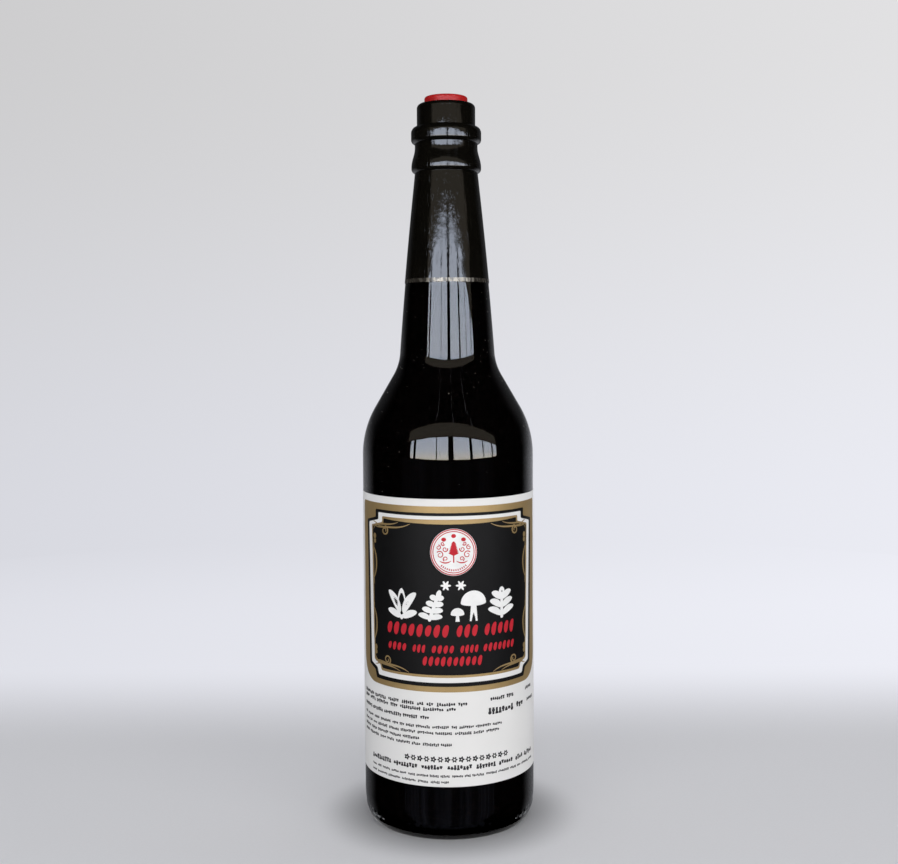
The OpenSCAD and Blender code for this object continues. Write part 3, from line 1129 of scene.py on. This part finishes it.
class BOTTLE_OT_label_marks(bpy.types.Operator):
    """Prints the white plants and flowers and the rows of red beans under them"""

    bl_idname = "bottle.label_marks"
    bl_label = "Label Marks"

    def execute(self, context):
        sizes = context.scene.sauce_bottle
        place_on = Print(sizes)
        parts = []
        for x, make in zip((-20.6, -6.6, 7.4, 21.6), ORNAMENTS):
            parts += place_on.strokes(make(x, 72.2), 2)
        flowers = [rosette(x, 80.3, 2.1, 6, 0.55) for x in (-2.1, 3.9)]
        white = printed("white_leaves", parts + place_on.blots(flowers, 2))
        ink(white, "white_ink", sizes.colours.white)

        rows = (
            (62.2, 5.3, ((-28.1, -0.2), (2.0, 11.3), (13.5, 28.7))),
            (55.0, 3.5, ((-27.6, -18.1), (-15.8, -10.0), (-7.9, 1.5), (3.5, 11.3), (13.0, 28.6))),
            (50.2, 4.0, ((-11.6, 13.0),)),
        )
        parts = []
        for y, tall, words in rows:
            for start, end in words:
                parts += place_on.strokes(bean_row(start, end, y, tall), 2)
        beans = printed("red_beans", parts)
        ink(beans, "red_ink", sizes.colours.red, speck=0.1)
        return {"FINISHED"}


def bean_row(start, end, y, tall):
    """A row of plump beans, all leaning alike, that fills the stretch from start to end."""
    count = max(2, round((end - start) / (tall * 0.62)))
    pitch = (end - start) / count
    grids = []
    for i in range(count):
        x = start + pitch * (i + 0.5)
        size = tall * (0.90 + 0.08 * math.sin(2.3 * i + y))
        lean = pitch * 0.16
        grids.append(leaf((x - lean, y - size / 2), (x + lean, y + size / 2),
                          pitch * 0.68, 0.14, 0.36, 12))
    return grids


def ornament_sprig(x, y):
    """Three tall leaves over two low ones."""
    return [
        leaf((x, y - 6.2), (x, y + 6.2), 3.9, 0.0, 0.45),
        leaf((x - 0.8, y - 3.6), (x - 6.4, y + 4.8), 3.3, -0.16, 0.45),
        leaf((x + 0.8, y - 3.6), (x + 6.4, y + 4.8), 3.3, 0.16, 0.45),
        leaf((x - 0.6, y - 5.4), (x - 6.8, y - 2.8), 2.8, -0.12, 0.45),
        leaf((x + 0.6, y - 5.4), (x + 6.8, y - 2.8), 2.8, 0.12, 0.45),
    ]


def ornament_fern(x, y):
    """A leaning stem with four pairs of leaves and one at its tip."""
    grids = [bar((x - 2.2, y - 6.2), (x + 1.4, y + 4.2), 1.4)]
    for i in range(4):
        t = 0.10 + 0.25 * i
        px, py = x - 2.2 + 3.6 * t, y - 6.2 + 10.4 * t
        size = 5.0 - 0.7 * i
        grids.append(leaf((px, py), (px - size * 0.94, py + size * 0.30), 2.3, -0.18, 0.45))
        grids.append(leaf((px, py), (px + size, py + size * 0.16), 2.3, 0.18, 0.45))
    grids.append(leaf((x + 1.2, y + 3.0), (x + 2.2, y + 6.3), 2.0, 0.0, 0.45))
    return grids


def ornament_mushrooms(x, y):
    """A tall mushroom and a small one. A cap runs from a shallow half ellipse up to a
    dome, and a stem widens to its foot."""
    grids = []
    for middle, top, reach in ((x + 1.6, y + 5.9, 5.2), (x - 4.9, y - 0.8, 2.7)):
        t = np.linspace(-0.996, 0.996, 41)
        dome = np.sqrt(1 - t ** 2) * reach
        level = top - 0.95 * reach
        under, over = level - 0.22 * dome, level + 0.95 * dome
        across = middle + reach * t
        grids.append(np.stack([np.column_stack([across, under]),
                               np.column_stack([across, over])], 1))
        grids.append(stroke(straight((middle, y - 6.2), (middle, level - 0.1 * reach), 6),
                            reach * np.linspace(0.62, 0.42, 7)))
    return grids


def ornament_branch(x, y):
    """An upright branch with three pairs of broad leaves and one on top."""
    grids = [bar((x, y - 6.2), (x, y + 4.0), 1.4), leaf((x, y + 2.6), (x, y + 6.4), 2.8, 0.0, 0.45)]
    for i in range(3):
        py = y - 4.9 + 3.2 * i
        for side in (-1, 1):
            grids.append(leaf((x + side * 0.3, py), (x + side * (6.4 - i * 0.8), py + 2.9), 2.7,
                              side * 0.20, 0.45))
    return grids


ORNAMENTS = (ornament_sprig, ornament_fern, ornament_mushrooms, ornament_branch)


class BOTTLE_OT_small_print(bpy.types.Operator):
    """Prints the rows of fine dark ticks under the frame and on the back"""

    bl_idname = "bottle.small_print"
    bl_label = "Small Print"

    def execute(self, context):
        sizes = context.scene.sauce_bottle
        place_on = Print(sizes)
        dice = np.random.default_rng(7)
        parts = []
        for y, tall, start, end in print_rows():
            parts += place_on.strokes(ticks(start, end, y, tall, dice), 1)
        rings = []
        for i in range(16):
            flower = rosette(-18.6 + 2.8 * i, 11.0, 1.3, 5 + i % 2, 0.42, 30)
            rings.append(band(flower, fan(flower, 8)[:, 2 + i % 2], 1))
        piece = printed("small_print", parts + place_on.bands(rings, 1))
        ink(piece, "small_print_ink", sizes.colours.grey, gloss=0.5)
        return {"FINISHED"}


def print_rows():
    """Rows of fine print: height of the middle, height of the ticks, start and end."""
    front = [
        (33.0, 1.5, -47.0, 8.0), (31.0, 1.5, -47.0, 3.4), (27.5, 1.5, -47.0, -6.9),
        (23.9, 1.2, -47.0, 21.7), (21.5, 1.2, -47.0, 20.7), (19.1, 1.2, -47.0, -13.1),
        (16.8, 1.2, -47.0, 2.1), (29.2, 2.6, 15.0, 36.0), (34.0, 1.6, 16.0, 28.0),
        (34.6, 1.4, 36.5, 44.0), (29.6, 1.4, 38.0, 45.0),
        (7.7, 2.0, -39.0, 43.8), (4.3, 1.0, -39.0, 43.8), (1.9, 1.0, -39.0, -0.3),
    ]
    back = []
    for start, upper, lower in ((62.0, (7, 19), (11, 23)), (-104.0, (5, 17), (9, 21))):
        back += paragraph(96.0, 3.6, 1.3, 9, start, upper)
        back += paragraph(55.0, 3.2, 1.1, 7, start, lower)
    return front + back


def paragraph(top, pitch, tall, count, start, ragged):
    """Rows from the top down, 42 mm long less what `ragged` (step, limit) takes off."""
    step, limit = ragged
    return [(top - pitch * i, tall, start, start + 42.0 - (i * step) % limit)
            for i in range(count)]


def ticks(start, end, y, tall, dice):
    """Words of upright ticks, each with one short cross bar at a chance height."""
    grids = []
    pitch = 0.62 * tall
    x = start
    while x < end - 2 * pitch:
        count = int(min(dice.integers(3, 11), (end - x) / pitch))
        for i in range(count):
            middle = x + pitch * (i + 0.5)
            low, high = sorted(dice.uniform((-0.55, 0.2), (-0.2, 0.55)) * tall)
            cross = dice.uniform(-0.4, 0.4) * tall
            grids.append(stroke([(middle, y + low), (middle, y + high)], 0.38 * tall))
            grids.append(stroke([(middle - 0.28 * tall, y + cross),
                                 (middle + 0.28 * tall, y + cross)], 0.33 * tall))
        x += pitch * (count + dice.uniform(0.8, 1.6))
    return grids


# Dust ---------------------------------------------------------------------

class BOTTLE_OT_dust(bpy.types.Operator):
    """Scatters fine specks of dust over the bare glass between the label and the film"""

    bl_idname = "bottle.dust"
    bl_label = "Dust"

    def execute(self, context):
        sizes = context.scene.sauce_bottle
        form = Form(sizes)
        g = form.g
        line = chain(straight((g.body_r, label_high.z + 1 * MM), (g.body_r, g.body_h), 4),
                     form.shoulder(20), form.neck(0, form.film_share() * 0.96, 12))
        dice = np.random.default_rng(3)
        count = 220
        way = np.concatenate([[0], np.cumsum(np.linalg.norm(np.diff(line, axis=0), axis=1))])
        at = dice.uniform(0, way[-1], count)
        radius = np.interp(at, way, line[:, 0])
        height = np.interp(at, way, line[:, 1])
        angle = dice.uniform(0, 2 * np.pi, count)
        size = dice.uniform(0.03, 0.075, count) * MM
        centre = np.column_stack([radius * np.sin(angle), -radius * np.cos(angle), height])
        rows, columns = 5, 6
        t = np.linspace(0, np.pi, rows)[:, None]
        a = np.linspace(0, 2 * np.pi, columns, endpoint=False)[None, :]
        ball = np.stack([np.sin(t) * np.cos(a), np.sin(t) * np.sin(a), np.cos(t) + 0 * a], -1)
        faces = grid_faces(rows, columns)
        long = dice.uniform(0.6, 1.8, (count, 3))
        parts = [(middle + ball * scale * shape, faces)
                 for middle, scale, shape in zip(centre, size, long)]
        piece = add_piece("dust_specks", parts, outward=False)

        def vary(place):
            cloud = place.noise(3000, 1.0)
            return {"Base Color": cloud.mix((0.35, 0.33, 0.30), (0.6, 0.58, 0.55)),
                    "Roughness": 0.7 + 0.2 * cloud}

        finish(piece, "dust", {"Specular IOR Level": 0.2}, vary)
        return {"FINISHED"}


# Stage --------------------------------------------------------------------

def stage_piece(name, points, faces, look):
    """A stage mesh whose shader comes from `look`, called with the place on it."""
    mesh = bpy.data.meshes.new(name)
    mesh.from_pydata(points.reshape(-1, 3).tolist(), [], faces.tolist())
    mesh.polygons.foreach_set("use_smooth", np.ones(len(mesh.polygons), bool))
    piece = bpy.data.objects.new(name, mesh)
    bpy.context.scene.collection.objects.link(piece)
    mesh.materials.append(material(name, look))
    return piece


def round_wall(radius, from_angle, to_angle, low, high, columns=48, rows=12):
    """Part of an upright cylinder: (r sin a, -r cos a, z), facing the bottle."""
    a = np.radians(np.linspace(from_angle, to_angle, columns))[None, :]
    z = np.linspace(low, high, rows)[:, None]
    points = np.stack([radius * np.sin(a) + 0 * z, -radius * np.cos(a) + 0 * z, z + 0 * a], -1)
    return points, grid_faces(rows, columns, loop_columns=False)[:, ::-1]


def flat_walls(distance, spans, low, high, columns):
    """Parts of an upright plane in front, one for each span of angles:
    (distance tan a, -distance, z)."""
    rows = 6
    z = np.linspace(low, high, rows)[:, None]
    faces = grid_faces(rows, columns, loop_columns=False)[:, ::-1]
    parts = []
    for from_angle, to_angle in spans:
        x = distance * np.tan(np.radians(np.linspace(from_angle, to_angle, columns)))[None, :]
        parts.append((np.stack([x + 0 * z, -distance + 0 * x + 0 * z, z + 0 * x], -1), faces))
    return joined(parts)


def glow(start, colour_wire, strength):
    """An even glow of a colour."""
    return start.node("ShaderNodeEmission", None, {"Color": colour_wire, "Strength": strength})


def backdrop_painted_light(place):
    """Painted light for the glowing backdrop and far floor: pale grey that brightens to the right
    and turns bluer and brighter downwards, in place of light falling on them.
    """
    x, z = place.axis("X"), place.axis("Z")
    low = 1 - z.step(0.0, 0.5)
    light = 0.685 + 0.17 * x + 0.09 * low
    tint = low.mix((1.0, 0.995, 1.01), (0.975, 0.985, 1.06))
    return light.node(
        "ShaderNodeVectorMath", {"operation": "SCALE"}, {0: tint, "Scale": light})


class BOTTLE_OT_stage(bpy.types.Operator):
    """Sets up the pale floor and backdrop, the window-like soft light and the camera"""

    bl_idname = "bottle.stage"
    bl_label = "Stage"

    def execute(self, context):
        scene = context.scene
        wall_r = 0.75
        points, faces = round_wall(wall_r, 180 - 58, 180 + 58, 0.0, 1.1)
        # The backdrop is not lit: it glows with painted light.
        backdrop = stage_piece("backdrop", points, faces,
                               lambda start, place: glow(start, backdrop_painted_light(place), 1.0))
        backdrop.visible_glossy = False
        self.floor(wall_r)
        self.windows()
        self.side_glows(wall_r)
        self.lamps()
        self.room_light(scene)
        scene.view_settings.view_transform = "Standard"
        self.camera(scene)
        return {"FINISHED"}

    def room_light(self, scene):
        """An even, slightly blue light from all round, which reflections don't show."""
        world = bpy.data.worlds.new("soft_room")
        world.use_nodes = True
        background = world.node_tree.nodes["Background"]
        background.inputs["Color"].default_value = (0.93, 0.95, 1.0, 1)
        background.inputs["Strength"].default_value = 0.52
        world.cycles_visibility.glossy = False
        scene.world = world

    def floor(self, wall_r):
        """A wide disc. Near the bottle it takes light, and a painted shadow makes it darkest at the
        foot; far behind it glows with the backdrop's painted light."""
        rings = np.concatenate([np.linspace(0, wall_r, 16), [1.5, 3.0]])
        points, faces = turned(np.column_stack([rings, 0 * rings]), 96)

        def look(start, place):
            pale = place.noise(900, 2.0).mix((0.80, 0.80, 0.815), (0.84, 0.84, 0.855))
            x, y = place.axis("X"), place.axis("Y")
            # Painted shadow: the floor's colour darkens to (0.52, 0.52, 0.53) round the foot, fading
            # out between 34 and 58 mm from the axis.
            clear = (x * x + y * y).root().step(0.034, 0.058)
            paper = start.node("ShaderNodeBsdfDiffuse", None, {
                "Color": clear.mix((0.52, 0.52, 0.53), pale)})
            # Far behind, the floor glows with the backdrop's painted light, a little brighter nearer
            # the bottle.
            far = place.axis("Y").step(0.08, 0.24)
            lift = 1.055 - 0.055 * place.axis("Y").step(0.35, 0.75)
            return start.node("ShaderNodeMixShader", None, {
                0: far, 1: paper, 2: glow(start, backdrop_painted_light(place), lift)})

        floor = stage_piece("floor", points, faces[:, ::-1], look)
        floor.visible_glossy = False

    def windows(self):
        """Tall panes between dark bars, seen only in reflections, with a dim wall and
        faint roof bars above them and a dark yard below."""
        distance, low, high, ceiling = 0.75, 0.110, 0.480, 0.80
        sill = low - 0.02

        def sky(start, place):
            share = (place.axis("Z") - low) / (high - low)
            tone = share.node("ShaderNodeValToRGB", {"stops": (
                (0.0, (0.95, 0.86, 0.72)), (0.16, (0.98, 0.95, 0.92)),
                (0.4, (0.78, 0.83, 0.93)), (1.0, (0.68, 0.75, 0.90)))}, {"Fac": share})
            return glow(start, tone, 9.5)

        def wall(start, place):
            return glow(start, (0.60, 0.53, 0.43, 1), 0.75)

        def roof(start, place):
            return glow(start, (0.8, 0.85, 1.0, 1), 0.8)

        def yard(start, place):
            streak = place.stretched(1, 1, 0.05).noise(9, 3.0).step(0.42, 0.75)
            down = place.axis("Z").step(sill, -0.5)
            return glow(start, (0.55, 0.6, 0.8, 1), (0.03 + 0.16 * streak) * (0.3 + 0.7 * down))

        panes = ((-50, -46), (-42.5, -15.5), (-14.5, 0.5), (7.5, 29), (32.5, 47), (48.2, 60),
                 (62, 67))
        roof_bars = [(angle, angle + 0.7) for angle in (-20, 9, 38)]
        for name, spans, bottom, top, columns, look in (
                ("window_panes", panes, low, high, 12, sky),
                ("wall_above", [(-55, 68)], high + 0.006, ceiling, 12, wall),
                ("roof_bars", roof_bars, ceiling, 2.2, 2, roof),
                ("yard_below", [(-62, 62)], -0.7, sill, 24, yard)):
            points, faces = flat_walls(distance, spans, bottom, top, columns)
            self.only_in_gloss(stage_piece(name, points, faces, look))

    def only_in_gloss(self, piece):
        """Keeps a glowing sheet out of everything but reflections."""
        piece.visible_camera = False
        piece.visible_diffuse = False
        piece.visible_shadow = False

    def side_glows(self, radius):
        """What the edges of the glass reflect: the room behind, dimmer straight behind
        and on the left, and the bright floor just round the foot."""
        points, faces = round_wall(radius, 112, 248, -0.5, 1.0, 48, 4)

        def room(start, place):
            behind = (place.axis("Y") / radius).step(0.4, 0.8)
            right = place.axis("X").step(-0.1, 0.1)
            up, down = place.axis("Z").step(0.05, 0.32), place.axis("Z").step(-0.25, -0.05)
            level = behind * (0.36 + 0.16 * right) * (1 - 0.85 * up) * (0.45 + 0.55 * down)
            return glow(start, (0.92, 0.93, 1.0, 1), level)

        self.only_in_gloss(stage_piece("room_behind", points, faces, room))
        points, faces = turned(np.array([[0.0322, 0.0001], [0.0352, 0.0001]]), 96)
        self.only_in_gloss(stage_piece(
            "foot_glow", points, faces[:, ::-1], lambda start, place: glow(
                start, (0.9, 0.9, 0.92, 1), 0.3)))

    def lamps(self):
        """Broad soft lamps in front, which light what isn't mirror-like."""
        for angle, power in ((-34, 2.9), (8, 4.0), (46, 3.4)):
            a = math.radians(angle)
            lamp = bpy.data.lights.new("soft_pane", "AREA")
            lamp.shape = "RECTANGLE"
            lamp.size, lamp.size_y = 0.75, 0.55
            lamp.energy = power
            lamp.color = (1.0, 0.985, 0.96)
            piece = bpy.data.objects.new("soft_pane", lamp)
            piece.location = (1.25 * math.sin(a), -1.25 * math.cos(a), 0.36)
            piece.rotation_euler = Euler((math.radians(80), 0, a), "XYZ")
            piece.visible_glossy = False
            piece.visible_camera = False
            bpy.context.scene.collection.objects.link(piece)

    def camera(self, scene):
        """A view from the front and a little above the bottle's middle, tilted slightly down."""
        view = bpy.data.cameras.new("camera")
        view.sensor_width = 36
        view.lens = 50.11
        view.shift_y = -0.030
        piece = bpy.data.objects.new("camera", view)
        piece.location = (0.724 * MM, -521.6 * MM, 197.67 * MM)
        piece.rotation_euler = Euler((math.radians(90 - 2.82), 0.0055, 0), "XYZ")
        scene.collection.objects.link(piece)
        scene.camera = piece


# Add-on -------------------------------------------------------------------

STEPS = (
    BOTTLE_OT_stage, BOTTLE_OT_glass, BOTTLE_OT_sauce, BOTTLE_OT_stopper, BOTTLE_OT_capsule,
    BOTTLE_OT_paper, BOTTLE_OT_label_frame, BOTTLE_OT_label_scrolls, BOTTLE_OT_emblem,
    BOTTLE_OT_label_marks, BOTTLE_OT_small_print, BOTTLE_OT_dust)


class BOTTLE_PT_sidebar(bpy.types.Panel):
    """Lists the steps that build the bottle"""

    bl_idname = "BOTTLE_PT_sidebar"
    bl_label = "Sauce Bottle"
    bl_space_type = "VIEW_3D"
    bl_region_type = "UI"
    bl_category = "Sauce Bottle"

    def draw(self, context):
        for step in STEPS:
            self.layout.operator(step.bl_idname)


CLASSES = (GlassSizes, ClosureSizes, LabelSizes, Colours, SauceBottle, *STEPS, BOTTLE_PT_sidebar)


def register():
    """Registers the classes and hangs the sizes on the scene."""
    for one in CLASSES:
        bpy.utils.register_class(one)
    bpy.types.Scene.sauce_bottle = bpy.props.PointerProperty(type=SauceBottle)


def unregister():
    """Takes away what `register` made."""
    del bpy.types.Scene.sauce_bottle
    for one in reversed(CLASSES):
        bpy.utils.unregister_class(one)


def main():
    """Builds everything in order."""
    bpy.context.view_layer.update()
    register()
    for step in STEPS:
        group, name = step.bl_idname.split(".")
        getattr(getattr(bpy.ops, group), name)()


if __name__ == "__main__":
    main()
